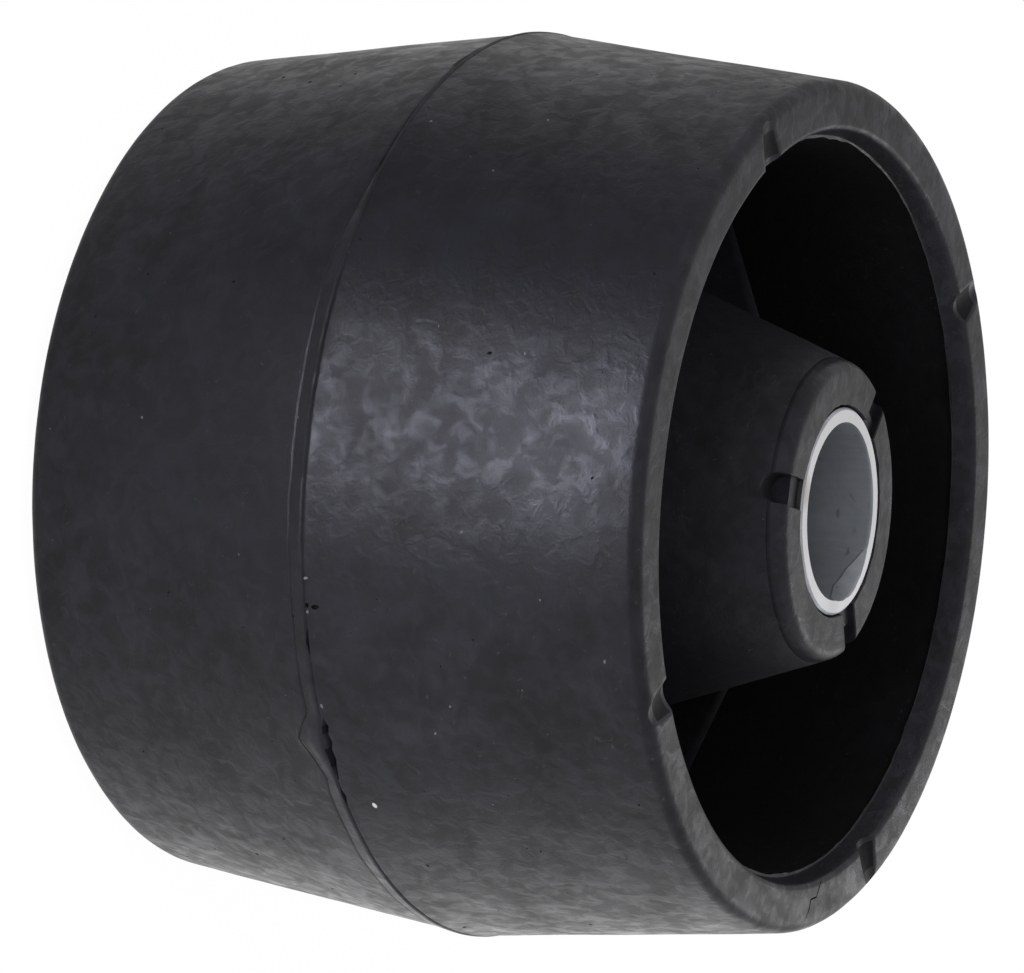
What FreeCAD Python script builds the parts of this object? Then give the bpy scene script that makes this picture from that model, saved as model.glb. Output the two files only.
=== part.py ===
import FreeCAD, Part
import math
import os

# Side roller for a boat trailer: one rubber body moulded round a plain steel tube.
# The roller's axis is Z. It stands on the lower end of its tube, which is at Z = 0.
# Lengths are in millimetres and angles in degrees, counted from +X towards +Y.

# Rubber outside: two cones that meet at a ridge, where the mould parts
ridge_diameter = 120.0
crown_rise = 5.0
rim_to_rim = 87.0
rim_edge_round = 1.8
parting_ridge_width = 1.6
parting_ridge_height = 0.5

# Cup in each end, with a lead-in that stops at the core line
rim_wall = 6.1
lead_in_depth = 3.0
lead_in_fall = 0.9
core_line_step = 0.4
cup_draft = 2.0
cup_root_ease = 4.0
web_thickness = 8.0

# Conical hub that holds the tube
hub_above_rim = 0.9
hub_wall = 5.6
hub_flank_angle = 20.5
hub_edge_round = 1.3

# Sloping ribs from the hub to the cup wall
rib_count = 3
rib_first_angle = 28.0
rib_front_thickness = 3.2
rib_root_thickness = 4.4
rib_front_round = 1.2
rib_drop_at_hub = 17.1
rib_drop_at_wall = 29.8
rib_bite = 2.0

# Slots left in the hub's end by the fingers that centre the tube in the mould
finger_count = 3
finger_first_angle = 23.0
finger_width = 3.6
finger_depth = 1.3
finger_heel_depth = 3.4
finger_heel_wall = 2.8

# Hollow slots across the rim, deepest at the mouth and running out on the outer edge
rim_slot_count = 4
rim_slot_first_angle = 27.5
rim_slot_width = 4.6
rim_slot_depth = 1.2
rim_slot_rise = 8.0

# Steel tube
tube_diameter = 26.9
tube_wall = 2.3
tube_above_hub = 0.6
tube_bore_chamfer = 0.4
tube_edge_chamfer = 0.3
tube_clearance = 0.02

# Places that follow from the sizes above, with Z counted from the middle of the roller
ridge_radius = ridge_diameter / 2
end_radius = ridge_radius - crown_rise
rim_height = rim_to_rim / 2
mouth_radius = end_radius - rim_wall
lead_in_height = rim_height - lead_in_depth
throat_radius = mouth_radius - lead_in_fall
web_height = web_thickness / 2
tube_radius = tube_diameter / 2
bore_radius = tube_radius - tube_wall
socket_radius = tube_radius + tube_clearance
hub_height = rim_height + hub_above_rim
hub_end_radius = socket_radius + hub_wall
tube_height = hub_height + tube_above_hub
largest_share_of_side = 0.45
cutter_overrun = 1.0


def outside_radius(height):
    """Radius of the rubber's outer cone at a height above the middle."""
    return ridge_radius - crown_rise * height / rim_height


def hub_radius(height):
    """Radius of the hub's conical flank at a height above the middle."""
    return hub_end_radius + math.tan(math.radians(hub_flank_angle)) * (hub_height - height)


def cup_radius(height):
    """Radius of the cup's drafted wall, below the core line."""
    fall = math.tan(math.radians(cup_draft)) * (lead_in_height - height)
    return throat_radius + core_line_step - fall


def rounded_outline(corners, place):
    """Closed wire through corners (across, up, round), each rounded by a tangent arc.

    place turns the flat pair (across, up) into a point in space. A round is held to
    a share of its two sides, so that neighbouring rounds never meet.
    """
    starts = []
    middles = []
    ends = []
    for index, (across, up, size) in enumerate(corners):
        corner = FreeCAD.Vector(across, up, 0)
        before = FreeCAD.Vector(*corners[index - 1][:2], 0) - corner
        after = FreeCAD.Vector(*corners[(index + 1) % len(corners)][:2], 0) - corner
        half_angle = before.getAngle(after) / 2
        shorter_side = min(before.Length, after.Length)
        reach = min(size / math.tan(half_angle), largest_share_of_side * shorter_side)
        radius = reach * math.tan(half_angle)
        inward = (before.normalize() + after.normalize()).normalize()
        starts.append(corner + before * reach)
        ends.append(corner + after * reach)
        middles.append(corner + inward * (radius / math.sin(half_angle) - radius))
    edges = []
    for index, (across, up, size) in enumerate(corners):
        start = place(starts[index])
        end = place(ends[index])
        if size > 0:
            edges.append(Part.Arc(start, place(middles[index]), end).toShape())
        edges.append(Part.LineSegment(end, place(starts[(index + 1) % len(corners)])).toShape())
    return Part.Wire(edges)


def on_section(point):
    """A point of a section: distance from the axis, and height above the middle."""
    return FreeCAD.Vector(point.x, 0, point.y)


def turned_solid(corners):
    """Solid of revolution whose section is the upper corners and their mirror image."""
    mirrored = [(across, -up, size) for across, up, size in reversed(corners)]
    section = Part.Face(rounded_outline(corners + mirrored, on_section))
    return section.revolve(FreeCAD.Vector(0, 0, 0), FreeCAD.Vector(0, 0, 1), 360)


def round_the_axis(shape, count, first_angle):
    """Equally spaced copies of a shape that was made along +X."""
    copies = []
    for index in range(count):
        copy = shape.copy()
        angle = first_angle + index * 360.0 / count
        copy.rotate(FreeCAD.Vector(0, 0, 0), FreeCAD.Vector(0, 0, 1), angle)
        copies.append(copy)
    return copies


def at_both_ends(shapes):
    """The shapes of the upper end with their mirror images at the lower end."""
    middle = FreeCAD.Vector(0, 0, 0)
    return shapes + [shape.mirror(middle, FreeCAD.Vector(0, 0, 1)) for shape in shapes]


def radial_block(inner_radius, outer_radius, width, low, high):
    """Block along +X, centred on it across its width."""
    corner = FreeCAD.Vector(inner_radius, -width / 2, low)
    return Part.makeBox(outer_radius - inner_radius, width, high - low, corner)


def rubber_blank():
    """The rubber body before its ribs and slots: shell, web and hub in one section."""
    floor_width = cup_radius(web_height) - hub_radius(web_height)
    root_ease = min(cup_root_ease, largest_share_of_side * floor_width)
    root_height = web_height + root_ease
    ridge_half_width = parting_ridge_width / 2
    ridge_foot = outside_radius(ridge_half_width)
    return turned_solid([
        (socket_radius, hub_height, 0),
        (hub_end_radius, hub_height, hub_edge_round),
        (hub_radius(root_height), root_height, 0),
        (hub_radius(web_height) + root_ease, web_height, 0),
        (cup_radius(web_height) - root_ease, web_height, 0),
        (cup_radius(root_height), root_height, 0),
        (throat_radius + core_line_step, lead_in_height, 0),
        (throat_radius, lead_in_height, 0),
        (mouth_radius, rim_height, 0),
        (end_radius, rim_height, rim_edge_round),
        (ridge_foot, ridge_half_width, 0),
        (ridge_foot + parting_ridge_height, ridge_half_width, 0),
    ])


def rib():
    """Drafted rib along +X, whose rounded front edge falls from the hub to the cup wall."""
    hub_end_height = rim_height - rib_drop_at_hub
    wall_end_height = rim_height - rib_drop_at_wall
    hub_end = hub_radius(hub_end_height)
    wall_end = cup_radius(wall_end_height)
    fall = math.atan2(hub_end_height - wall_end_height, wall_end - hub_end)
    inner_end = hub_end - rib_bite
    outer_end = wall_end + rib_bite
    front_start = FreeCAD.Vector(inner_end, 0, hub_end_height + rib_bite * math.tan(fall))
    along_front = FreeCAD.Vector(math.cos(fall), 0, -math.sin(fall))
    off_front = FreeCAD.Vector(math.sin(fall), 0, math.cos(fall))
    depth = front_start.z * math.cos(fall)
    length = (outer_end - inner_end) / math.cos(fall) + depth * math.tan(fall)

    def square_to_front(point):
        return front_start + FreeCAD.Vector(0, point.x, 0) + off_front * point.y

    outline = rounded_outline([
        (-rib_root_thickness / 2, -depth, 0),
        (rib_root_thickness / 2, -depth, 0),
        (rib_front_thickness / 2, 0, rib_front_round),
        (-rib_front_thickness / 2, 0, rib_front_round),
    ], square_to_front)
    bar = Part.Face(outline).extrude(along_front * length)
    rib_space = radial_block(inner_end, outer_end, rib_root_thickness, 0, rim_height)
    return bar.common(rib_space)


def finger_slot():
    """Slot along +X from the tube through the hub's edge, with a vee at its outer end."""
    outer_end = hub_end_radius + hub_edge_round + finger_heel_depth
    top = hub_height + cutter_overrun
    slot = radial_block(tube_radius, outer_end, finger_width, hub_height - finger_depth, top)
    heel_start = socket_radius + finger_heel_wall
    vee = Part.makePolygon([
        FreeCAD.Vector(heel_start, -finger_width / 2, hub_height),
        FreeCAD.Vector(heel_start, finger_width / 2, hub_height),
        FreeCAD.Vector(heel_start, 0, hub_height - finger_heel_depth),
        FreeCAD.Vector(heel_start, -finger_width / 2, hub_height),
    ])
    heel = Part.Face(vee).extrude(FreeCAD.Vector(outer_end - heel_start, 0, 0))
    return slot.fuse(heel)


def rim_slot():
    """Round bar along +X that rises outwards, and whose underside hollows out the slot."""
    half_width = rim_slot_width / 2
    radius = (half_width ** 2 + rim_slot_depth ** 2) / (2 * rim_slot_depth)
    rise = math.radians(rim_slot_rise)
    along = FreeCAD.Vector(math.cos(rise), 0, math.sin(rise))
    inner_end = throat_radius - cutter_overrun
    length = (ridge_radius - inner_end) / math.cos(rise)
    height_at_mouth = rim_height - rim_slot_depth + radius / math.cos(rise)
    height_at_end = height_at_mouth - (mouth_radius - inner_end) * math.tan(rise)
    return Part.makeCylinder(radius, length, FreeCAD.Vector(inner_end, 0, height_at_end), along)


def rubber_roller():
    """The whole moulded body."""
    ribs = at_both_ends(round_the_axis(rib(), rib_count, rib_first_angle))
    fingers = at_both_ends(round_the_axis(finger_slot(), finger_count, finger_first_angle))
    rim_slots = at_both_ends(round_the_axis(rim_slot(), rim_slot_count, rim_slot_first_angle))
    return rubber_blank().fuse(ribs).cut(fingers + rim_slots).removeSplitter()


def steel_tube():
    """Plain tube with its end edges broken."""
    return turned_solid([
        (bore_radius, tube_height - tube_bore_chamfer, 0),
        (bore_radius + tube_bore_chamfer, tube_height, 0),
        (tube_radius - tube_edge_chamfer, tube_height, 0),
        (tube_radius, tube_height - tube_edge_chamfer, 0),
    ])


def write_node(name, shape):
    """Stand a shape on Z = 0 and write it."""
    shape.translate(FreeCAD.Vector(0, 0, tube_height))
    shape.exportStep(os.path.join("parts", name + ".step"))


os.makedirs("parts", exist_ok=True)
write_node("rubber_roller", rubber_roller())
write_node("steel_tube", steel_tube())
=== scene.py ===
import math

import bmesh
import bpy
import numpy as np
from mathutils import Matrix, Vector
from mathutils.bvhtree import BVHTree


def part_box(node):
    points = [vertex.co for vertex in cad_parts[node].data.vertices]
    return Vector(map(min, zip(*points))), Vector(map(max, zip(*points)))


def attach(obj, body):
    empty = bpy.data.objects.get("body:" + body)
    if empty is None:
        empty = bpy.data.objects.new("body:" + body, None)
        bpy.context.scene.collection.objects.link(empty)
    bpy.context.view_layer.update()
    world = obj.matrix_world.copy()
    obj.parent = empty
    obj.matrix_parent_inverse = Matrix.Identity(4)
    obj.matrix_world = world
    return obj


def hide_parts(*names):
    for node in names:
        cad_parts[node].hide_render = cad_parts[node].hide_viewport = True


# Side roller for a boat trailer: black rubber moulded round a zinc plated tube.
# Sizes are millimetres and degrees, and heights count from the middle of the roller.

mm = 0.001
perMetre = 1 / mm

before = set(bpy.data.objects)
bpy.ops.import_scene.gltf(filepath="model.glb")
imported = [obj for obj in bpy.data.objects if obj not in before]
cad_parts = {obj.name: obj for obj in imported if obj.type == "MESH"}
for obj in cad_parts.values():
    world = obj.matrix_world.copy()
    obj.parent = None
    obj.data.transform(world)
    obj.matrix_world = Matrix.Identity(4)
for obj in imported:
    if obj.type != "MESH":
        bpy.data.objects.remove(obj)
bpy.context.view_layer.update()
tubeLow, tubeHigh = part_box("steel_tube")
rubberLow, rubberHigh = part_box("rubber_roller")
middleHeight = (tubeLow[2] + tubeHigh[2]) / 2  # metres
tubeHalf = (tubeHigh[2] - tubeLow[2]) / 2 / mm
hubHalf = (rubberHigh[2] - rubberLow[2]) / 2 / mm
print("frame loaded")


# Helpers for node trees

socketKinds = {int: "Int", float: "Float", tuple: "Vector"}


def newTree(name, kind, inputs, outputs):
    # An input is given by its value, or by the kind of its socket where it has none
    tree = bpy.data.node_groups.new(name, kind)
    for label, value in inputs.items():
        hasValue = not isinstance(value, str)
        socketKind = "NodeSocket" + (socketKinds[type(value)] if hasValue else value)
        socket = tree.interface.new_socket(label, in_out="INPUT", socket_type=socketKind)
        if hasValue:
            socket.default_value = value
    for label, kindName in outputs.items():
        tree.interface.new_socket(label, in_out="OUTPUT", socket_type="NodeSocket" + kindName)
    return tree, tree.nodes.new("NodeGroupInput").outputs, tree.nodes.new("NodeGroupOutput")


def feed(tree, node, inputs):
    # Links sockets and sets plain values. A node stands for its first output
    for key, value in inputs.items():
        if isinstance(value, bpy.types.Node):
            value = value.outputs[0]
        if isinstance(value, bpy.types.NodeSocket):
            tree.links.new(value, node.inputs[key])
        else:
            node.inputs[key].default_value = value


def addNode(tree, kind, inputs=None, **settings):
    node = tree.nodes.new(kind)
    for setting, value in settings.items():
        setattr(node, setting, value)
    feed(tree, node, inputs or {})
    return node


def math2(tree, operation, first, second=0.0, clamp=False):
    node = addNode(tree, "ShaderNodeMath", {0: first, 1: second}, operation=operation)
    node.use_clamp = clamp
    return node


def product(tree, *values):
    result = values[0]
    for value in values[1:]:
        result = math2(tree, "MULTIPLY", result, value)
    return result


def mapped(tree, value, fromLow, fromHigh, toLow=0.0, toHigh=1.0):
    sockets = {0: value, 1: fromLow, 2: fromHigh, 3: toLow, 4: toHigh}
    return addNode(tree, "ShaderNodeMapRange", sockets)


def vectorMath(tree, operation, first, second=None):
    inputs = {0: first}
    if second is not None:
        inputs["Scale" if operation == "SCALE" else 1] = second
    node = addNode(tree, "ShaderNodeVectorMath", inputs, operation=operation)
    return node.outputs["Value" if operation in ("LENGTH", "DISTANCE") else "Vector"]


def combined(tree, x=0.0, y=0.0, z=0.0):
    return addNode(tree, "ShaderNodeCombineXYZ", {0: x, 1: y, 2: z})


def plainMesh(source, name):
    graph = bpy.context.evaluated_depsgraph_get()
    mesh = bpy.data.meshes.new_from_object(source.evaluated_get(graph))
    mesh.name = name
    return mesh


def treeResult(source, tree, values, name):
    # Runs a geometry tree on an object and gives back a plain mesh
    modifier = source.modifiers.new(tree.name, "NODES")
    modifier.node_group = tree
    for item in tree.interface.items_tree:
        if item.item_type == "SOCKET" and item.in_out == "INPUT" and item.name in values:
            modifier[item.identifier] = values[item.name]
    mesh = plainMesh(source, name)
    bpy.data.objects.remove(source)
    return mesh


def newObject(name, mesh):
    thing = bpy.data.objects.new(name, mesh)
    bpy.context.scene.collection.objects.link(thing)
    return thing


def meshFrom(name, points, faces, edges=()):
    mesh = bpy.data.meshes.new(name)
    mesh.from_pydata([tuple(point) for point in points], list(edges), list(faces))
    mesh.update()
    return mesh


def faceOutwards(mesh):
    work = bmesh.new()
    work.from_mesh(mesh)
    bmesh.ops.recalc_face_normals(work, faces=work.faces)
    work.to_mesh(mesh)
    work.free()


# Section lines: corners eased by arcs, long stretches split into rows

arcStep = 11.0


def corner(radius, height, ease=0.0, rows=4.0, **pulls):
    return {"at": Vector((radius, height)), "ease": ease, "rows": rows, "pulls": pulls}


def mirroredCorners(corners, **changes):
    return [dict(spot, at=Vector((spot["at"].x, -spot["at"].y)), **changes)
            for spot in reversed(corners)]


def easedLine(corners):
    # Each point is (radius, height, pulls), and pulls say how far it follows a ragged edge
    stretches = []
    for index, spot in enumerate(corners):
        before = (corners[index - 1]["at"] - spot["at"]).normalized()
        after = (corners[(index + 1) % len(corners)]["at"] - spot["at"]).normalized()
        if spot["ease"] == 0:
            arc = [(spot["at"], spot["pulls"])]
        else:
            half = before.angle(after) / 2
            reach = spot["ease"] / math.tan(half)
            centre = spot["at"] + (before + after).normalized() * spot["ease"] / math.sin(half)
            first = spot["at"] + before * reach - centre
            turn = -first.angle_signed(spot["at"] + after * reach - centre)
            steps = max(2, round(abs(math.degrees(turn)) / arcStep))
            spins = [Matrix.Rotation(turn * step / steps, 2) for step in range(steps + 1)]
            arc = [(centre + spin @ first, spot["pulls"]) for spin in spins]
        stretches.append((arc, spot["rows"]))
    line = []
    for index, (arc, rows) in enumerate(stretches):
        line += arc
        start, startPulls = arc[-1]
        end, endPulls = stretches[(index + 1) % len(stretches)][0][0]
        parts = max(1, math.ceil((end - start).length / rows))
        for part in range(1, parts):
            share = part / parts
            pulls = {}
            for key in set(startPulls) | set(endPulls):
                pulls[key] = startPulls.get(key, 0) * (1 - share) + endPulls.get(key, 0) * share
            line.append((start.lerp(end, share), pulls))
    return line


# Geometry tree: a section turned round the axis, with ragged mould flash

pullNames = ("lip", "flash", "gap")
sweepRadius = 30.0


def sectionObject(name, line):
    # The sweep turns the section over, so it is drawn upside down
    points = [((at.x - sweepRadius) * mm, -at.y * mm, 0) for at, pulls in line]
    edges = [(index, (index + 1) % len(line)) for index in range(len(line))]
    mesh = meshFrom(name, points, [], edges)
    for pull in pullNames:
        layer = mesh.attributes.new(pull, "FLOAT", "POINT")
        layer.data.foreach_set("value", [pulls.get(pull, 0.0) for at, pulls in line])
    return newObject(name, mesh)


def finishTree(tree, result, geometry, material, lift=0.0):
    # Every geometry tree ends here: lifted into place, made real and painted
    raised = addNode(tree, "GeometryNodeTransform", {
        "Geometry": geometry, "Translation": combined(tree, z=lift)})
    real = addNode(tree, "GeometryNodeRealizeInstances", {0: raised})
    painted = addNode(tree, "GeometryNodeSetMaterial", {"Geometry": real, "Material": material})
    feed(tree, result, {0: painted})
    return tree


def namedValue(tree, name, kind="FLOAT"):
    return addNode(tree, "GeometryNodeInputNamedAttribute", {"Name": name}, data_type=kind)


def buildTurnedTree():
    tree, socket, result = newTree("turnedSection", "GeometryNodeTree", {
        "Geometry": "Geometry", "Columns": 256, "Sweep Radius": sweepRadius * mm, "Lift": 0.0,
        "Unevenness": 0.0, "Uneven Size": 0.02, "Calm Radius": 0.0,
        "Flash Height": 0.0, "Flash Size": 0.002, "Gap Width": 0.0, "Gap Size": 0.004,
        "Lip Wander": 0.0, "Lip Size": 0.008, "Seed": 0.0, "Material": "Material",
    }, {"Geometry": "Geometry"})
    profile = addNode(tree, "GeometryNodeMeshToCurve", {"Mesh": socket["Geometry"]})
    circle = addNode(tree, "GeometryNodeCurvePrimitiveCircle", {
        "Resolution": socket["Columns"], "Radius": socket["Sweep Radius"]})
    sweep = addNode(tree, "GeometryNodeCurveToMesh", {"Curve": circle, "Profile Curve": profile})
    place = addNode(tree, "GeometryNodeInputPosition")
    parts = addNode(tree, "ShaderNodeSeparateXYZ", {0: place}).outputs
    flat = combined(tree, parts[0], parts[1])

    def ragged(label, shift, low, high, least=0.0):
        # Lumps of the size that an input gives
        sockets = {"Vector": place, "W": math2(tree, "ADD", socket["Seed"], shift),
                   "Scale": math2(tree, "DIVIDE", 1.0, socket[label]), "Detail": 3.0}
        noise = addNode(tree, "ShaderNodeTexNoise", sockets, noise_dimensions="4D")
        return mapped(tree, noise, low, high, least, 1.0)

    calm = math2(tree, "SUBTRACT", vectorMath(tree, "LENGTH", flat), socket["Calm Radius"])
    free = mapped(tree, calm, 0.0, 6 * mm)
    wave = ragged("Uneven Size", 0.0, 0.25, 0.75, -1.0)
    swell = product(tree, wave, free, socket["Unevenness"])
    lumps = product(tree, ragged("Flash Size", 5.0, 0.42, 0.78), 0.75)
    torn = math2(tree, "ADD", lumps, 0.25)
    fin = product(tree, torn, namedValue(tree, "flash"), socket["Flash Height"])
    nibble = ragged("Gap Size", 9.0, 0.42, 0.72)
    gap = product(tree, nibble, namedValue(tree, "gap"), socket["Gap Width"])
    stray = ragged("Lip Size", 13.0, 0.25, 0.75, -1.0)
    wander = product(tree, stray, namedValue(tree, "lip"), socket["Lip Wander"])
    move = math2(tree, "ADD", math2(tree, "SUBTRACT", swell, fin), gap)
    radial = vectorMath(tree, "SCALE", vectorMath(tree, "NORMALIZE", flat), move)
    offset = vectorMath(tree, "ADD", radial, combined(tree, z=wander))
    shaped = addNode(tree, "GeometryNodeSetPosition", {"Geometry": sweep, "Offset": offset})
    return finishTree(tree, result, shaped, socket["Material"], socket["Lift"])


# Geometry tree: copies of one part round the axis, at both ends

def buildCopiesTree():
    tree, socket, result = newTree("copiesRoundAxis", "GeometryNodeTree", {
        "Geometry": "Geometry", "Count": 3, "First Angle": 0.0, "Lift": 0.0, "Material": "Material",
    }, {"Geometry": "Geometry"})
    points = addNode(tree, "GeometryNodePoints", {"Count": socket["Count"]})
    step = math2(tree, "DIVIDE", math.tau, socket["Count"])
    index = addNode(tree, "GeometryNodeInputIndex")
    angle = math2(tree, "ADD", product(tree, index, step), socket["First Angle"])
    spin = addNode(tree, "FunctionNodeEulerToRotation", {0: combined(tree, z=angle)})
    ring = addNode(tree, "GeometryNodeInstanceOnPoints", {
        "Points": points, "Instance": socket["Geometry"], "Rotation": spin})
    upper = addNode(tree, "GeometryNodeRealizeInstances", {0: ring})
    mirrored = addNode(tree, "GeometryNodeTransform", {"Geometry": upper, "Scale": (1, 1, -1)})
    lower = addNode(tree, "GeometryNodeFlipFaces", {0: mirrored})
    both = addNode(tree, "GeometryNodeJoinGeometry", {0: lower})
    feed(tree, both, {0: upper})
    return finishTree(tree, result, both, socket["Material"], socket["Lift"])


# Geometry tree: a ragged lump on every point, flattened along the surface it lies on

def buildMarksTree():
    tree, socket, result = newTree("marksOnSurface", "GeometryNodeTree", {
        "Geometry": "Geometry", "Depth Share": 0.5, "Longest": 2.0, "Ragged": 0.5, "Seed": 0,
        "Material": "Material",
    }, {"Geometry": "Geometry"})

    def chance(low, high, shift):
        seed = math2(tree, "ADD", socket["Seed"], shift)
        return addNode(tree, "FunctionNodeRandomValue", {2: low, 3: high, "Seed": seed}).outputs[1]

    size = namedValue(tree, "size")
    points = addNode(tree, "GeometryNodeMeshToPoints", {"Mesh": socket["Geometry"]})
    lump = addNode(tree, "GeometryNodeMeshIcoSphere", {"Radius": 1.0, "Subdivisions": 2})
    upright = addNode(tree, "FunctionNodeAlignRotationToVector", {
        "Vector": namedValue(tree, "facing", "FLOAT_VECTOR")}, axis="Z")
    turn = addNode(tree, "FunctionNodeEulerToRotation", {
        0: combined(tree, z=chance(0.0, math.tau, 1))})
    turned = addNode(tree, "FunctionNodeRotateRotation", {0: upright, 1: turn},
                     rotation_space="LOCAL")
    long = product(tree, size, chance(1.0, socket["Longest"], 2))
    deep = product(tree, size, socket["Depth Share"])
    spread = addNode(tree, "GeometryNodeInstanceOnPoints", {
        "Points": points, "Instance": lump, "Rotation": turned,
        "Scale": combined(tree, long, size, deep)})
    real = addNode(tree, "GeometryNodeRealizeInstances", {0: spread})
    noise = addNode(tree, "ShaderNodeTexNoise", {
        "Vector": addNode(tree, "GeometryNodeInputPosition"), "Scale": 2.5 / mm, "Detail": 2.0})
    centred = vectorMath(tree, "SUBTRACT", noise.outputs["Color"], (0.5, 0.5, 0.5))
    stray = vectorMath(tree, "SCALE", centred, product(tree, size, socket["Ragged"]))
    shaped = addNode(tree, "GeometryNodeSetPosition", {"Geometry": real, "Offset": stray})
    return finishTree(tree, result, shaped, socket["Material"])


turnedTree = buildTurnedTree()
copiesTree = buildCopiesTree()
marksTree = buildMarksTree()
print("geometry trees built")


# Shader groups

def buildGrainGroup():
    # Fine tooth of the mould's surface, with a softer ripple under it
    tree, socket, result = newTree("mouldGrain", "ShaderNodeTree", {
        "Vector": "Vector", "Grain Size": 0.35, "Ripple Size": 4.0, "Ripple Share": 0.5,
    }, {"Height": "Float"})
    fine = addNode(tree, "ShaderNodeTexNoise", {
        "Vector": socket["Vector"], "Scale": math2(tree, "DIVIDE", perMetre, socket["Grain Size"]),
        "Detail": 4.0, "Roughness": 0.65})
    ripple = addNode(tree, "ShaderNodeTexNoise", {
        "Vector": socket["Vector"], "Scale": math2(tree, "DIVIDE", perMetre, socket["Ripple Size"]),
        "Detail": 3.0})
    share = socket["Ripple Share"]
    keep = math2(tree, "SUBTRACT", 1.0, share)
    height = math2(tree, "ADD", product(tree, fine, keep), product(tree, ripple, share))
    feed(tree, result, {"Height": height})
    return tree


def buildCloudGroup():
    # Soft patches, such as bloom on rubber or dull patches on zinc
    tree, socket, result = newTree("cloudPatches", "ShaderNodeTree", {
        "Vector": "Vector", "Patch Size": 20.0, "Low": 0.4, "High": 0.65, "Detail": 4.0,
        "Stretch": (1.0, 1.0, 1.0),
    }, {"Mask": "Float"})
    noise = addNode(tree, "ShaderNodeTexNoise", {
        "Vector": vectorMath(tree, "MULTIPLY", socket["Vector"], socket["Stretch"]),
        "Scale": math2(tree, "DIVIDE", perMetre, socket["Patch Size"]),
        "Detail": socket["Detail"], "Distortion": 0.6})
    feed(tree, result, {"Mask": mapped(tree, noise, socket["Low"], socket["High"])})
    return tree


def buildScratchGroup():
    # Thin scratches: the zero lines of a stretched noise
    tree, socket, result = newTree("thinScratches", "ShaderNodeTree", {
        "Vector": "Vector", "Size": 8.0, "Width": 0.01, "Stretch": (1.0, 1.0, 1.0), "Sparse": 0.6,
    }, {"Mask": "Float"})
    scale = math2(tree, "DIVIDE", perMetre, socket["Size"])
    noise = addNode(tree, "ShaderNodeTexNoise", {
        "Vector": vectorMath(tree, "MULTIPLY", socket["Vector"], socket["Stretch"]),
        "Scale": scale, "Detail": 2.0, "Distortion": 1.2})
    away = math2(tree, "ABSOLUTE", math2(tree, "SUBTRACT", noise, 0.5))
    line = mapped(tree, away, 0.0, socket["Width"], 1.0, 0.0)
    where = addNode(tree, "ShaderNodeTexNoise", {
        "Vector": socket["Vector"], "Scale": product(tree, scale, 1.7), "Detail": 1.0})
    sparse = socket["Sparse"]
    here = mapped(tree, where, sparse, math2(tree, "ADD", sparse, 0.1))
    feed(tree, result, {"Mask": product(tree, line, here)})
    return tree


grainGroup = buildGrainGroup()
cloudGroup = buildCloudGroup()
scratchGroup = buildScratchGroup()


def useGroup(tree, group, vector, **values):
    inputs = {"Vector": vector}
    for key, value in values.items():
        label = "".join(" " + letter if letter.isupper() else letter for letter in key).title()
        inputs[label] = value
    return addNode(tree, "ShaderNodeGroup", inputs, node_tree=group)


def mixColour(tree, factor, first, second):
    sockets = {0: factor, 6: first, 7: second}
    return addNode(tree, "ShaderNodeMix", sockets, data_type="RGBA").outputs[2]


def newMaterial(name):
    material = bpy.data.materials.new(name)
    material.use_nodes = True
    tree = material.node_tree
    tree.nodes.clear()
    surface = tree.nodes.new("ShaderNodeBsdfPrincipled")
    output = tree.nodes.new("ShaderNodeOutputMaterial")
    tree.links.new(surface.outputs[0], output.inputs[0])
    return material, tree, surface


outerFinish = {
    "dark": (0.0042, 0.0042, 0.0050, 1),
    "bloom": (0.0145, 0.0152, 0.0205, 1),
    "dust": (0.060, 0.059, 0.058, 1),
    "roughLow": 0.25,
    "roughHigh": 0.52,
    "sheen": 0.24,
    "bumpDepth": 0.058,
}

# Copy of the rubber for the hub's flank and the ribs inside the cup, toned for how light falls
# there: its lighter colour is painted light, its lower sheen is painted shade; it is also rougher
hubPaintedShadeAndLight = {
    "dark": (0.0060, 0.0060, 0.0070, 1),
    "bloom": (0.0140, 0.0145, 0.0180, 1),
    "dust": (0.060, 0.060, 0.060, 1),
    "roughLow": 0.48,
    "roughHigh": 0.62,
    "sheen": 0.18,
    "bumpDepth": 0.05,
}

# Darker, duller and rougher copy of the rubber for the cup, pits, cracks and slots: its darker
# colour and lower sheen are painted shade
cupPaintedShade = {
    "dark": (0.0020, 0.0020, 0.0022, 1),
    "bloom": (0.0050, 0.0050, 0.0058, 1),
    "dust": (0.030, 0.030, 0.030, 1),
    "roughLow": 0.55,
    "roughHigh": 0.70,
    "sheen": 0.16,
    "bumpDepth": 0.05,
}


rubberWeights = {
    "colour": (0.30, 0.35, 0.35),
    "polish": (0.22, 0.34, 0.44),
    "relief": (0.0, 1.3, 0.9),
    "dust": 0.35,
    "scratches": 0.25,
}


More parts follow.
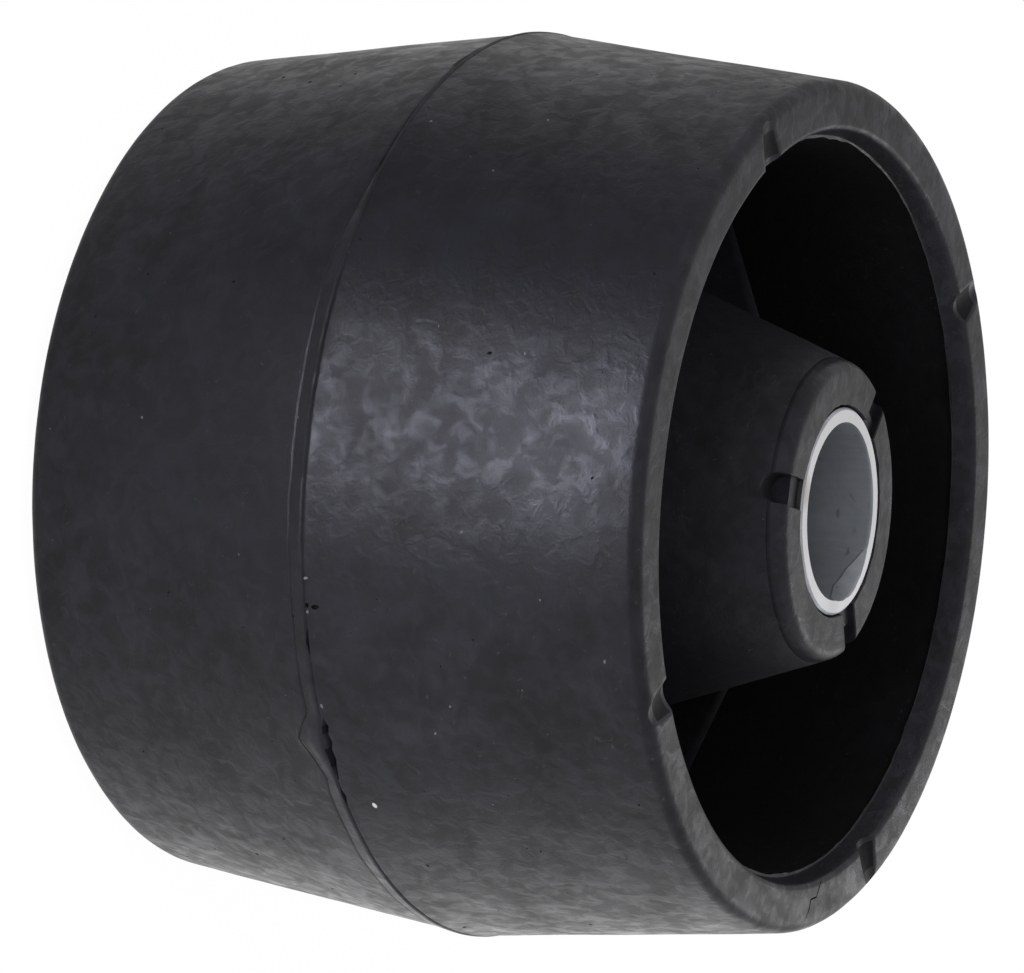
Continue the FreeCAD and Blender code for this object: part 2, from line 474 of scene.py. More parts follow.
def makeRubber(name, finish):
    # Patches of three sizes give the colour, the polish and the relief
    material, tree, surface = newMaterial(name)
    place = addNode(tree, "ShaderNodeTexCoord").outputs["Object"]
    grain = useGroup(tree, grainGroup, place, grainSize=0.30, rippleSize=5.0, rippleShare=0.35)
    clouds = [useGroup(tree, cloudGroup, place, patchSize=24.0, low=0.38, high=0.70, detail=5.0),
              useGroup(tree, cloudGroup, place, patchSize=7.5, low=0.38, high=0.66, detail=5.0),
              useGroup(tree, cloudGroup, place, patchSize=2.3, low=0.42, high=0.64, detail=4.0)]
    dust = useGroup(tree, cloudGroup, place, patchSize=0.8, low=0.70, high=0.76, detail=2.0)
    scratch = useGroup(tree, scratchGroup, place, size=9.0, width=0.006,
                       stretch=(1.0, 1.0, 2.5), sparse=0.56)

    def weighted(shares):
        parts = [product(tree, cloud, share) for cloud, share in zip(clouds, shares)]
        return math2(tree, "ADD", math2(tree, "ADD", parts[0], parts[1]), parts[2])

    mottled = mixColour(tree, weighted(rubberWeights["colour"]), finish["dark"], finish["bloom"])
    marks = math2(tree, "ADD", product(tree, dust, rubberWeights["dust"]),
                  product(tree, scratch, rubberWeights["scratches"]), clamp=True)
    height = math2(tree, "ADD", grain, weighted(rubberWeights["relief"]))
    feed(tree, surface, {
        "Base Color": mixColour(tree, marks, mottled, finish["dust"]),
        "Roughness": mapped(tree, weighted(rubberWeights["polish"]), 0.0, 1.0,
                            finish["roughHigh"], finish["roughLow"]),
        "Specular IOR Level": finish["sheen"],
        "Normal": addNode(tree, "ShaderNodeBump", {
            "Strength": 0.55, "Distance": finish["bumpDepth"] * mm, "Height": height}),
    })
    return material


zincFinish = {
    "cut": (0.62, 0.62, 0.63, 1),
    "plated": (0.56, 0.58, 0.63, 1),
    "dull": (0.34, 0.36, 0.38, 1),
    "rust": (0.17, 0.085, 0.05, 1),
    # Dark rubber smear on the outer wall; the same colour darkens the filed facet and a line at its
    # foot as painted shade
    "smearAndShadeColour": (0.020, 0.020, 0.021, 1),
    "speck": (0.06, 0.06, 0.07, 1),
    "stainRadius": 13.4,
    "stainAngle": 262.0,
    "stainReach": 3.2,
}


def makeZinc(finish):
    material, tree, surface = newMaterial("zincPlatedSteel")
    place = addNode(tree, "ShaderNodeTexCoord").outputs["Object"]
    patches = useGroup(tree, cloudGroup, place, patchSize=7.0, low=0.35, high=0.7, detail=5.0)
    streaks = useGroup(tree, cloudGroup, place, patchSize=0.8, low=0.3, high=0.7, detail=3.0,
                       stretch=(1.0, 1.0, 0.06))
    specks = useGroup(tree, cloudGroup, place, patchSize=2.0, low=0.68, high=0.80, detail=1.0)
    grain = useGroup(tree, grainGroup, place, grainSize=0.25, rippleSize=2.5, rippleShare=0.5)
    isCut = addNode(tree, "ShaderNodeAttribute", attribute_name="cutShare").outputs["Fac"]
    # Share of the dark colour: rubber smear on the outer wall, painted shade on the filed facet and
    # at its foot
    smearAndShadeMask = addNode(tree, "ShaderNodeAttribute", attribute_name="smearAndShadeShare").outputs["Fac"]
    plated = mixColour(tree, patches, finish["plated"], finish["dull"])
    streaked = mixColour(tree, product(tree, streaks, 0.35), plated, finish["dull"])
    specked = mixColour(tree, product(tree, specks, 0.5), streaked, finish["speck"])
    metal = mixColour(tree, isCut, specked, finish["cut"])
    angle = math.radians(finish["stainAngle"])
    reach = finish["stainRadius"] * mm
    stainAt = (reach * math.cos(angle), reach * math.sin(angle), middleHeight + tubeHalf * mm)
    distance = vectorMath(tree, "DISTANCE", place, stainAt)
    near = mapped(tree, distance, finish["stainReach"] * mm, 0.0, 0.0, 0.9)
    stain = product(tree, near, patches)
    stained = mixColour(tree, stain, metal, finish["rust"])
    covered = math2(tree, "MAXIMUM", product(tree, stain, 0.7), smearAndShadeMask)
    feed(tree, surface, {
        "Base Color": mixColour(tree, smearAndShadeMask, stained, finish["smearAndShadeColour"]),
        "Metallic": math2(tree, "SUBTRACT", 1.0, covered),
        "Roughness": mapped(tree, patches, 0.0, 1.0, 0.48, 0.62),
        "Normal": addNode(tree, "ShaderNodeBump", {
            "Strength": 0.4, "Distance": 0.03 * mm, "Height": grain}),
    })
    return material


speckFinish = {
    "grey": (0.11, 0.11, 0.12, 1),
    "pale": (0.62, 0.62, 0.60, 1),
    "smallSize": 0.18,
    "largeSize": 0.30,
}


def makeSpeck(finish):
    material, tree, surface = newMaterial("paleDust")
    size = addNode(tree, "ShaderNodeAttribute", attribute_name="size").outputs["Fac"]
    tint = mapped(tree, size, finish["smallSize"] * mm, finish["largeSize"] * mm)
    feed(tree, surface, {"Base Color": mixColour(tree, tint, finish["grey"], finish["pale"]),
                         "Roughness": 0.8})
    return material


rubberMaterial = makeRubber("satinBlackRubber", outerFinish)
cupPaintedShadeMaterial = makeRubber("cupRubberPaintedShade", cupPaintedShade)
hubPaintedShadeAndLightMaterial = makeRubber("hubRubberPaintedShadeAndLight", hubPaintedShadeAndLight)
zincMaterial = makeZinc(zincFinish)
speckMaterial = makeSpeck(speckFinish)
print("materials made")


# Rubber body

rubberSizes = {
    "ridgeRadius": 60.0,
    "crownRise": 5.0,
    "rimHeight": 43.5,
    "rimEase": 1.8,
    "rimWall": 6.1,
    "leadInDepth": 3.0,
    "leadInFall": 0.9,
    "coreStep": 0.4,
    "cupDraft": 2.0,
    "cupRootEase": 4.0,
    "webHalf": 4.0,
    "socketRadius": 13.47,
    "hubWall": 5.6,
    "hubFlank": 20.5,
    "hubEase": 1.6,
    "mouthEase": 0.9,
    "seamDepth": 0.09,
    "lipTop": -0.05,
    "lipFoot": -2.05,
    "lipRise": 0.20,
    "lipFall": 0.12,
    "lipGroove": 0.03,
    "footGroove": 0.12,
    "columns": 432,
    "seed": 3.0,
}

# Sizes of its ragged edges, by the names of the turned tree's inputs
raggedness = {
    "Unevenness": 0.14,
    "Uneven Size": 24.0,
    "Flash Height": 0.55,
    "Flash Size": 4.2,
    "Gap Width": 0.38,
    "Gap Size": 3.4,
    "Lip Wander": 0.22,
    "Lip Size": 9.0,
}


def outsideRadius(height):
    sizes = rubberSizes
    return sizes["ridgeRadius"] - sizes["crownRise"] * abs(height) / sizes["rimHeight"]


def hubRadius(height):
    sizes = rubberSizes
    end = sizes["socketRadius"] + sizes["hubWall"]
    return end + math.tan(math.radians(sizes["hubFlank"])) * (hubHalf - height)


mouthRadius = rubberSizes["ridgeRadius"] - rubberSizes["crownRise"] - rubberSizes["rimWall"]
throatRadius = mouthRadius - rubberSizes["leadInFall"]
leadInHeight = rubberSizes["rimHeight"] - rubberSizes["leadInDepth"]


def cupRadius(height):
    fall = math.tan(math.radians(rubberSizes["cupDraft"])) * (leadInHeight - height)
    return throatRadius + rubberSizes["coreStep"] - fall


def endCorners(sizes):
    # One end, from the socket out to the cone beside the parting lip
    socket = sizes["socketRadius"]
    rim = sizes["rimHeight"]
    top = hubHalf
    hubEnd = hubRadius(top)
    seam = top - sizes["hubEase"] - 0.6
    web = sizes["webHalf"]
    throat = throatRadius
    return [
        corner(socket, top - 1.6, gap=0.0, rows=100.0),
        corner(socket + 0.06, top - 0.7, gap=0.6, rows=0.5),
        corner(socket + 0.30, top, gap=1.0, rows=0.6),
        corner(socket + 0.85, top, gap=0.35, rows=0.9),
        corner(hubEnd, top, sizes["hubEase"], rows=0.5),
        corner(hubRadius(seam + 0.18), seam + 0.18),
        corner(hubRadius(seam) - sizes["seamDepth"], seam),
        corner(hubRadius(seam - 0.18), seam - 0.18, rows=5.0),
        corner(hubRadius(web), web, sizes["cupRootEase"], rows=5.0),
        corner(cupRadius(web), web, sizes["cupRootEase"], rows=5.0),
        corner(throat + sizes["coreStep"], leadInHeight - 0.10),
        corner(throat - 0.05, leadInHeight + 0.02, flash=1.0),
        corner(throat + 0.02, leadInHeight + 0.14, rows=1.0),
        corner(mouthRadius, rim, sizes["mouthEase"], rows=1.2),
        corner(outsideRadius(rim), rim, sizes["rimEase"], rows=3.5),
    ]


tornTab = {
    "angles": (150.0, 175.0, 230.0, 243.0, 300.3, 302.3, 304.4, 307.0, 309.9, 312.5),
    "reach": (0.0, -1.35, -1.35, 0.0, 0.0, 1.3, 2.1, 0.6, -0.4, 0.0),
    "lift": (0.0, 0.0, 0.0, 0.0, 0.0, 0.15, 0.30, 0.15, 0.0, 0.0),
    "proudPull": 0.4,
}


def rubberSection(sizes):
    upper = endCorners(sizes)
    top = sizes["lipTop"]
    foot = sizes["lipFoot"]
    proud = sizes["lipRise"]
    low = proud - sizes["lipFall"]
    groove = sizes["lipGroove"]
    lip = [
        corner(outsideRadius(top + 1.0), top + 1.0, rows=0.3),
        corner(outsideRadius(top) + 0.01, top + 0.20, rows=0.3, lip=0.15),
        corner(outsideRadius(top) - groove, top + 0.09, lip=0.2),
        corner(outsideRadius(top) + proud * 0.6, top - 0.04, lip=0.25),
        corner(outsideRadius(top) + proud, top - 0.28, rows=0.4, lip=tornTab["proudPull"]),
        corner(outsideRadius(foot) + low, foot + 0.14, lip=1.0),
        corner(outsideRadius(foot) - sizes["footGroove"], foot, lip=1.0),
        corner(outsideRadius(foot - 0.22), foot - 0.22, rows=0.3, lip=1.0),
        corner(outsideRadius(foot - 2.4), foot - 2.4, rows=3.5),
    ]
    return easedLine(upper + lip + mirroredCorners(upper))


def angleOf(points):
    return np.degrees(np.arctan2(points[:, 1], points[:, 0])) % 360


def readArray(items, name, width=1):
    values = np.zeros(len(items) * width)
    items.foreach_get(name, values)
    return values if width == 1 else values.reshape(-1, width)


def readPoints(mesh):
    return readArray(mesh.vertices, "co", 3)


def readCentres(mesh):
    return readArray(mesh.polygons, "center", 3)


def readPull(mesh, name):
    return readArray(mesh.attributes[name].data, "value")


def writePoints(mesh, points):
    mesh.vertices.foreach_set("co", points.ravel())
    mesh.update()


def tearLip(mesh, tab):
    # The parting lip narrows along one side. At the tear it bulges out and breaks off
    points = readPoints(mesh)
    pull = readPull(mesh, "lip")
    angle = angleOf(points)
    reach = np.interp(angle, tab["angles"], tab["reach"], 0, 0) * mm
    lift = np.interp(angle, tab["angles"], tab["lift"], 0, 0) * mm
    radius = np.hypot(points[:, 0], points[:, 1])
    narrowed = np.clip((pull - tab["proudPull"]) / (1 - tab["proudPull"]), 0, 1)
    points[:, 2] -= reach * np.where(reach < 0, narrowed, pull)
    raised = (radius + lift * pull * (radius > (rubberSizes["ridgeRadius"] + 0.1) * mm)) / radius
    points[:, 0] *= raised
    points[:, 1] *= raised
    writePoints(mesh, points)


# Parts that are joined to the rubber or cut out of it

ribSizes = {
    "count": 3,
    "firstAngle": 28.0,
    "frontThickness": 3.2,
    "rootThickness": 4.4,
    "frontEase": 1.2,
    "dropAtHub": 17.1,
    "dropAtWall": 29.8,
    "bite": 2.0,
}

rimSlotSizes = {
    "angles": (25.5, 125.5, 210.0, 299.5),
    "width": 4.8,
    "depth": 1.2,
    "rise": 8.0,
    "shoulder": 0.2,
    "stations": 12,
}

fingerSizes = {
    "count": 3,
    "firstAngle": 23.0,
    "width": 3.9,
    "depth": 0.85,
    "heelDepth": 3.2,
    "heelWall": 2.8,
    "shoulder": 0.15,
}


def lofted(name, outlines):
    # A closed bar through outlines of the same number of points
    count = len(outlines[0])
    last = (len(outlines) - 1) * count
    faces = [tuple(range(count))[::-1], tuple(range(last, last + count))]
    for low in range(0, last, count):
        for index in range(count):
            after = (index + 1) % count
            faces.append((low + index, low + after, low + count + after, low + count + index))
    points = [Vector(point) * mm for outline in outlines for point in outline]
    mesh = meshFrom(name, points, faces)
    faceOutwards(mesh)
    return mesh


def ribBar(sizes):
    rim = rubberSizes["rimHeight"]
    hubEnd = hubRadius(rim - sizes["dropAtHub"])
    wallEnd = cupRadius(rim - sizes["dropAtWall"])
    slope = (sizes["dropAtHub"] - sizes["dropAtWall"]) / (wallEnd - hubEnd)
    ends = []
    for along in (hubEnd - sizes["bite"], wallEnd + sizes["bite"]):
        front = rim - sizes["dropAtHub"] + slope * (along - hubEnd)
        outline = easedLine([
            corner(-sizes["rootThickness"] / 2, 0, rows=100),
            corner(sizes["rootThickness"] / 2, 0, rows=100),
            corner(sizes["frontThickness"] / 2, front, sizes["frontEase"], rows=100),
            corner(-sizes["frontThickness"] / 2, front, sizes["frontEase"], rows=100),
        ])
        ends.append([(along, at.x, at.y) for at, pulls in outline])
    return lofted("ribBar", ends)


def slotBar(name, inner, outer, half, floor, top, shoulder):
    # A bar along +X whose upper edges flare, so that the slot's edges come out eased
    outline = [
        (-half, floor), (half, floor), (half, top - shoulder),
        (half + shoulder * 2, top + shoulder), (half + shoulder * 2, top + 1),
        (-half - shoulder * 2, top + 1), (-half - shoulder * 2, top + shoulder),
        (-half, top - shoulder),
    ]
    return lofted(name, [[(along, *point) for point in outline] for along in (inner, outer)])


def hollowBar(sizes):
    # A bar along +X whose round underside rises outwards, with chamfers where it leaves the rim
    rim = rubberSizes["rimHeight"]
    half = sizes["width"] / 2
    radius = (half ** 2 + sizes["depth"] ** 2) / (2 * sizes["depth"])
    slope = math.tan(math.radians(sizes["rise"]))
    outlines = []
    for along in np.linspace(throatRadius - 1, rubberSizes["ridgeRadius"], sizes["stations"]):
        depth = max(sizes["depth"] - slope * (along - mouthRadius), 0.05)
        shoulder = min(sizes["shoulder"], depth / 3)
        reach = math.acos(1 - (depth - shoulder) / radius)
        edge = radius * math.sin(reach) + 4 * shoulder
        outline = [(-edge, rim + 1), (-edge, rim + shoulder)]
        for turn in np.linspace(-reach, reach, 15):
            outline.append((radius * math.sin(turn), rim - depth + radius * (1 - math.cos(turn))))
        outline += [(edge, rim + shoulder), (edge, rim + 1)]
        outlines.append([(along, across, up) for across, up in outline])
    return lofted("rimSlot", outlines)


def heelBar(sizes):
    # The slot's outer end is deeper, with a round bottom
    half = sizes["width"] / 2
    low = hubHalf - sizes["heelDepth"] + half
    outline = [(half, hubHalf + 1), (-half, hubHalf + 1)]
    for turn in np.linspace(math.pi, math.tau, 13):
        outline.append((half * math.cos(turn), low + half * math.sin(turn)))
    inner = rubberSizes["socketRadius"] + sizes["heelWall"]
    outer = hubRadius(hubHalf - sizes["heelDepth"]) + 2
    return lofted("heelBar", [[(along, *point) for point in outline] for along in (inner, outer)])


def roundTheAxis(name, mesh, count, firstAngle):
    values = {"Count": count, "First Angle": math.radians(firstAngle), "Lift": middleHeight,
              "Material": rubberMaterial}
    return newObject(name, treeResult(newObject(name, mesh), copiesTree, values, name))


def onSurface(angle, radius, height):
    turn = math.radians(angle)
    return Vector((radius * math.cos(turn), radius * math.sin(turn), height))


def crackBar(name, marks, width, depth, outwards):
    # A thin wedge that follows marks on a surface. outwards gives the surface's normal at a mark
    points = []
    for index, mark in enumerate(marks):
        before = marks[max(0, index - 1)]
        after = marks[min(len(marks) - 1, index + 1)]
        normal = outwards(mark)
        side = (after - before).cross(normal).normalized()
        share = 0.25 if index in (0, len(marks) - 1) else 1.0
        half = side * width / 2 * share
        points += [mark + half + normal * 0.15, mark - half + normal * 0.15,
                   mark - normal * depth * share]
    faces = [(0, 1, 2), tuple(len(points) - 3 + step for step in (2, 1, 0))]
    for index in range(len(marks) - 1):
        for step in range(3):
            first = index * 3 + step
            second = index * 3 + (step + 1) % 3
            faces.append((first, first + 3, second + 3, second))
    lift = Vector((0, 0, middleHeight))
    mesh = meshFrom(name, [point * mm + lift for point in points], faces)
    faceOutwards(mesh)
    return newObject(name, mesh)


crackMarks = {
    "lipTears": [
        [(300.9, 0.30), (302.0, 0.45), (303.2, 0.15), (304.3, 0.40), (305.4, 0.10), (306.8, 0.30),
         (308.2, 0.05), (309.9, 0.15)],
        [(311.2, 0.00), (312.6, 0.15), (314.2, 0.00)],
        [(289.2, 0.05), (290.8, -0.05), (292.5, 0.05)],
    ],
    "lipTearWidths": (1.15, 0.60, 0.35),
    "lipTearDepth": 0.65,
    "rimSplit": [(9.4, 48.4), (7.4, 49.8), (6.6, 50.9), (4.6, 51.0), (4.2, 52.2), (3.0, 53.6)],
    "rimSplitWidth": 0.28,
    "rimSplitDepth": 0.8,
}


def sideways(mark):
    return Vector((mark.x, mark.y, 0)).normalized()


def upwards(mark):
    return Vector((0, 0, 1))


def combine(body, tools):
    for tool, operation in tools:
        modifier = body.modifiers.new(tool.name, "BOOLEAN")
        modifier.operation = operation
        modifier.object = tool
        modifier.solver = "MANIFOLD"
    mesh = plainMesh(body, body.name)
    for tool, operation in tools:
        bpy.data.objects.remove(tool)
    bpy.data.objects.remove(body)
    return mesh


# Marks on the outside as (angle, height, radius), and how many more are strewn about
pitMarks = {
    "placed": [(254.2, 21.8, 0.19), (286.3, 0.3, 0.26), (286.5, 1.3, 0.30), (346.6, 2.6, 0.24),
               (209.2, -22.1, 0.24), (206.2, -27.9, 0.27), (207.7, -16.0, 0.22),
               (331.5, -21.5, 0.22), (342.4, -38.4, 0.26)],
    "strewn": 190,
    "smallest": 0.07,
    "largest": 0.18,
    "depthShare": 1.5,
    "longest": 2.2,
    "ragged": 1.2,
    "pitDepth": 0.15,
    "seed": 11,
}

speckMarks = {
    "placed": [(314.1, 3.8, 0.27), (253.8, 26.3, 0.14), (283.0, 0.3, 0.19), (287.1, 0.3, 0.16),
               (264.1, -1.9, 0.17), (217.9, 17.1, 0.15), (291.7, 38.7, 0.14), (298.7, 17.7, 0.14),
               (302.6, 15.0, 0.14), (284.1, 30.9, 0.12), (276.3, 20.8, 0.12), (299.2, 0.5, 0.17),
               (265.2, -26.0, 0.15), (221.5, 2.6, 0.15), (228.6, 14.2, 0.12)],
    "strewn": 70,
    "smallest": 0.05,
    "largest": 0.12,
    "depthShare": 0.6,
    "longest": 2.0,
    "ragged": 0.7,
    "seed": 23,
}


def marksObject(name, marks, surface, material):
    # Lumps on the nearest points of a surface, as one object
    dice = np.random.default_rng(marks["seed"])
    placed = list(marks["placed"])
    for index in range(marks["strewn"]):
        size = marks["smallest"] + (marks["largest"] - marks["smallest"]) * dice.random() ** 3
        placed.append((dice.uniform(0, 360), dice.uniform(-42, 42), size))
    tree = BVHTree.FromPolygons([vertex.co for vertex in surface.vertices],
                                [tuple(polygon.vertices) for polygon in surface.polygons])
    points = []
    facings = []
    for angle, height, size in placed:
        guess = onSurface(angle, outsideRadius(height), height) * mm + Vector((0, 0, middleHeight))
        point, facing, index, distance = tree.find_nearest(guess)
        points.append(point)
        facings += list(facing)
    mesh = meshFrom(name, points, [])
    mesh.attributes.new("size", "FLOAT", "POINT").data.foreach_set(
        "value", [size * mm for angle, height, size in placed])
    mesh.attributes.new("facing", "FLOAT_VECTOR", "POINT").data.foreach_set("vector", facings)
    values = {"Depth Share": marks["depthShare"], "Longest": marks["longest"],
              "Ragged": marks["ragged"], "Seed": marks["seed"], "Material": material}
    return newObject(name, treeResult(newObject(name, mesh), marksTree, values, name))


def makeRubberBody():
    sizes = rubberSizes
    section = sectionObject("rubberSection", rubberSection(sizes))
    mesh = treeResult(section, turnedTree, {
        **{label: size * mm for label, size in raggedness.items()},
        "Columns": sizes["columns"], "Lift": middleHeight, "Seed": sizes["seed"],
        "Calm Radius": (sizes["socketRadius"] + 0.5) * mm, "Material": rubberMaterial,
    }, "rubberBody")
    faceOutwards(mesh)
    tearLip(mesh, tornTab)
    body = newObject("rubberBody", mesh)
    rim = sizes["rimHeight"]
    ribs = ribSizes
    fingers = fingerSizes
    fingerMesh = slotBar("fingerSlot", sizes["socketRadius"] - 0.3, hubRadius(hubHalf - 3) + 2,
                         fingers["width"] / 2, hubHalf - fingers["depth"], hubHalf,
                         fingers["shoulder"])
    cuts = [roundTheAxis("rimSlot", hollowBar(rimSlotSizes), 1, angle)
            for angle in rimSlotSizes["angles"]]
    for marks, width in zip(crackMarks["lipTears"], crackMarks["lipTearWidths"]):
        path = [onSurface(angle, outsideRadius(height) + 0.05, height) for angle, height in marks]
        cuts.append(crackBar("lipTear", path, width, crackMarks["lipTearDepth"], sideways))
    ribsObject = roundTheAxis("ribs", ribBar(ribs), ribs["count"], ribs["firstAngle"])
    cutsAfter = [roundTheAxis(name, barMesh, fingers["count"], fingers["firstAngle"])
                 for name, barMesh in (("fingerSlots", fingerMesh),
                                       ("fingerHeels", heelBar(fingers)))]
    path = [onSurface(angle, radius, rim) for angle, radius in crackMarks["rimSplit"]]
    cutsAfter += [crackBar("rimSplit", path, crackMarks["rimSplitWidth"],
                           crackMarks["rimSplitDepth"], upwards),
                  marksObject("pits", pitMarks, mesh, rubberMaterial)]
    tools = [(cut, "DIFFERENCE") for cut in cuts] + [(ribsObject, "UNION")]
    tools += [(cut, "DIFFERENCE") for cut in cutsAfter]
    mesh = combine(body, tools)
    mesh.shade_smooth()
    mesh.set_sharp_from_angle(angle=math.radians(32))
    return newObject("rubber_body", mesh)


nearLean = {
    "tilt": 2.7,
    "shift": (0.3, 0.8),
    "hubLift": 0.65,
    "fromHeight": 22.0,
    "fullRadius": 28.0,
    "noRadius": 34.0,
}


def leanNearEnd(mesh, lean, lift):
    # The roller is moulded a little out of true, so the near end of its hub and tube leans
    points = readPoints(mesh)
    height = (points[:, 2] - middleHeight) / mm
    radius = np.hypot(points[:, 0], points[:, 1]) / mm
    share = np.clip((height - lean["fromHeight"]) / (tubeHalf - lean["fromHeight"]), 0, 1)
    share *= np.clip((lean["noRadius"] - radius) / (lean["noRadius"] - lean["fullRadius"]), 0, 1)
    points[:, 2] += share * (lift * mm - math.tan(math.radians(lean["tilt"])) * points[:, 1])
    points[:, 0] += share * lean["shift"][0] * mm
    points[:, 1] += share * lean["shift"][1] * mm
    writePoints(mesh, points)


def paintRubber(mesh):
    # The cup's wall and web, below the core line, have the rougher finish of the core. They and the
    # pits, cracks and slots get a darker, less shiny copy of the rubber: painted shade. The flank
    # and the ribs in the cup get a copy toned for how light falls on them: painted light and shade.
    mesh.materials.clear()
    for material in (rubberMaterial, cupPaintedShadeMaterial, hubPaintedShadeAndLightMaterial):
        mesh.materials.append(material)
    centres = readCentres(mesh)
    radius = np.hypot(centres[:, 0], centres[:, 1]) / mm
    height = abs(centres[:, 2] - middleHeight) / mm
    sector = 360 / ribSizes["count"]
    aside = (angleOf(centres) - ribSizes["firstAngle"] + sector / 2) % sector - sector / 2
    across = radius * abs(np.sin(np.radians(aside)))
    onRib = (across < ribSizes["rootThickness"] / 2 + 0.1) & (radius < cupRadius(height) - 0.25)
    onHub = radius < hubRadius(height) + 1.0
    within = (radius < mouthRadius) & (height < leadInHeight + 0.05)
    onFlank = onHub & (height < hubHalf - rubberSizes["hubEase"])
    rim = rubberSizes["rimHeight"]
    rimEase = rubberSizes["rimEase"] + 0.2
    inPit = (radius > mouthRadius + 1) & (radius < outsideRadius(height) - pitMarks["pitDepth"])
    inPit &= height < rim - rimEase
    inSlot = (radius > mouthRadius + rubberSizes["mouthEase"]) & (height < rim - 0.12)
    inSlot &= (radius < outsideRadius(rim) - rimEase) & (height > leadInHeight)
    # Index 1, the cup copy, is painted shade; index 2, the hub copy, is painted light and shade
    paintedShadeFaces = (within & ~onRib & ~onHub) | inPit | inSlot
    painted = np.where(paintedShadeFaces, 1, np.where(onFlank | (within & onRib), 2, 0))
    mesh.polygons.foreach_set("material_index", painted.astype(np.int32))


rubberBody = makeRubberBody()
paintRubber(rubberBody.data)
leanNearEnd(rubberBody.data, nearLean, nearLean["hubLift"])
print("rubber body made:", len(rubberBody.data.polygons), "faces")


# Tube

tubeSizes = {
    "radius": 13.45,
    "wall": 2.3,
    "boreEase": 0.4,
    "edgeEase": 0.3,
    "columns": 320,
    "burrAngles": (4.0, 14.0, 32.0, 50.0, 66.0),
    "burrShares": (0.0, 0.55, 1.0, 0.75, 0.0),
    "burrWidth": 0.75,
    "burrDepth": 2.6,
    # How far the filed facet is darkened towards the bore's tone: painted shade
    "filedShade": 0.40,
    "cutWobble": 0.05,
}


def tubeSection(sizes):
    bore = sizes["radius"] - sizes["wall"]
    end = tubeHalf
    upper = [
        corner(bore, end - 9.0, rows=1.5),
        corner(bore + sizes["boreEase"] * 0.90, end - 0.62, gap=1.0),
        corner(bore + sizes["boreEase"] * 0.92, end - 0.35, gap=1.0),
        corner(bore + sizes["boreEase"] * 0.93, end - 0.30, flash=0.85),
        corner(bore + sizes["boreEase"] * 1.05, end, rows=0.35, flash=1.0),
        corner(sizes["radius"] - sizes["edgeEase"], end),
        corner(sizes["radius"], end - sizes["edgeEase"], rows=5.0),
    ]
    return easedLine(upper + mirroredCorners(upper, pulls={}))


def markTube(mesh, sizes):
    # Marks the sawn end faces, the filed edge and the outer wall, which has rubber on it. The filed
    # facet and a line at its foot are darkened with the smear's colour: painted shade.
    centres = readCentres(mesh)
    radius = np.hypot(centres[:, 0], centres[:, 1]) / mm
    below = tubeHalf - abs(centres[:, 2] - middleHeight) / mm
    bore = sizes["radius"] - sizes["wall"]
    filed = np.interp(angleOf(centres), sizes["burrAngles"], sizes["burrShares"], 0, 0)
    onFace = (below < 0.05) & (radius > bore + sizes["boreEase"])
    onEdge = (below < sizes["boreEase"]) & (radius < bore + sizes["boreEase"] + 0.05)
    onFacet = onEdge & ~onFace & (filed > 0.05)
    # A row at the foot of the filed facet, darkened as painted shade in the crease
    onLine = (below > 0.36) & (below < 0.61) & (filed > 0.05)
    onLine &= radius < bore + sizes["boreEase"]
    smeared = (radius > sizes["radius"] - 0.1) & (below > sizes["edgeEase"] - 0.05)
    smearAndShadeAmount = smeared + onLine * 0.75 + onFacet * sizes["filedShade"]
    for name, values in (("cutShare", onFace * 1.0), ("smearAndShadeShare", smearAndShadeAmount)):
        mesh.attributes.new(name, "FLOAT", "FACE").data.foreach_set("value", values)


def makeTube():
    sizes = tubeSizes
    section = sectionObject("tubeSection", tubeSection(sizes))
    mesh = treeResult(section, turnedTree, {
        "Columns": sizes["columns"], "Lift": middleHeight, "Material": zincMaterial,
    }, "tubeBody")
    faceOutwards(mesh)
    points = readPoints(mesh)
    angle = angleOf(points)
    radius = np.hypot(points[:, 0], points[:, 1])
    markTube(mesh, sizes)
    filed = np.interp(angle, sizes["burrAngles"], sizes["burrShares"], 0, 0)
    ragged = 0.9 + 0.1 * np.sin(np.radians(angle) * 23) * np.sin(np.radians(angle) * 11)
    points[:, 2] -= filed * readPull(mesh, "gap") * (sizes["burrDepth"] - sizes["boreEase"]) * mm
    grown = (radius + filed * readPull(mesh, "flash") * ragged * sizes["burrWidth"] * mm) / radius
    points[:, 0] *= grown
    points[:, 1] *= grown
    atTop = points[:, 2] > middleHeight + (tubeHalf - 0.05) * mm
    wobble = sizes["cutWobble"] * mm * (0.5 + 0.5 * np.sin(np.radians(angle) * 3 + 1))
    points[:, 2] -= atTop * wobble
    writePoints(mesh, points)
    mesh.shade_smooth()
    mesh.set_sharp_from_angle(angle=math.radians(8))
    return newObject("tube_body", mesh)


tubeBody = makeTube()
leanNearEnd(tubeBody.data, nearLean, 0.0)
print("tube made:", len(tubeBody.data.polygons), "faces")


dustSpecks = marksObject("dust_specks", speckMarks, rubberBody.data, speckMaterial)
print("specks made:", len(dustSpecks.data.polygons), "faces")

for piece, node, slotName in ((rubberBody, "rubber_roller", "black_rubber"),
                              (tubeBody, "steel_tube", "zinc_plated_steel"),
                              (dustSpecks, None, "black_rubber")):
    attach(piece, "root")
    if node:
        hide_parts(node)


# Camera, floor and light

cameraView = {
    "lens": 180.4,
    "sensorWidth": 36.0,
    "distance": 682.7,
    "shiftRight": 2.33,
    "shiftUp": 0.15,
    "awayFromAxis": 62.46,
    "roll": 4.38,
}


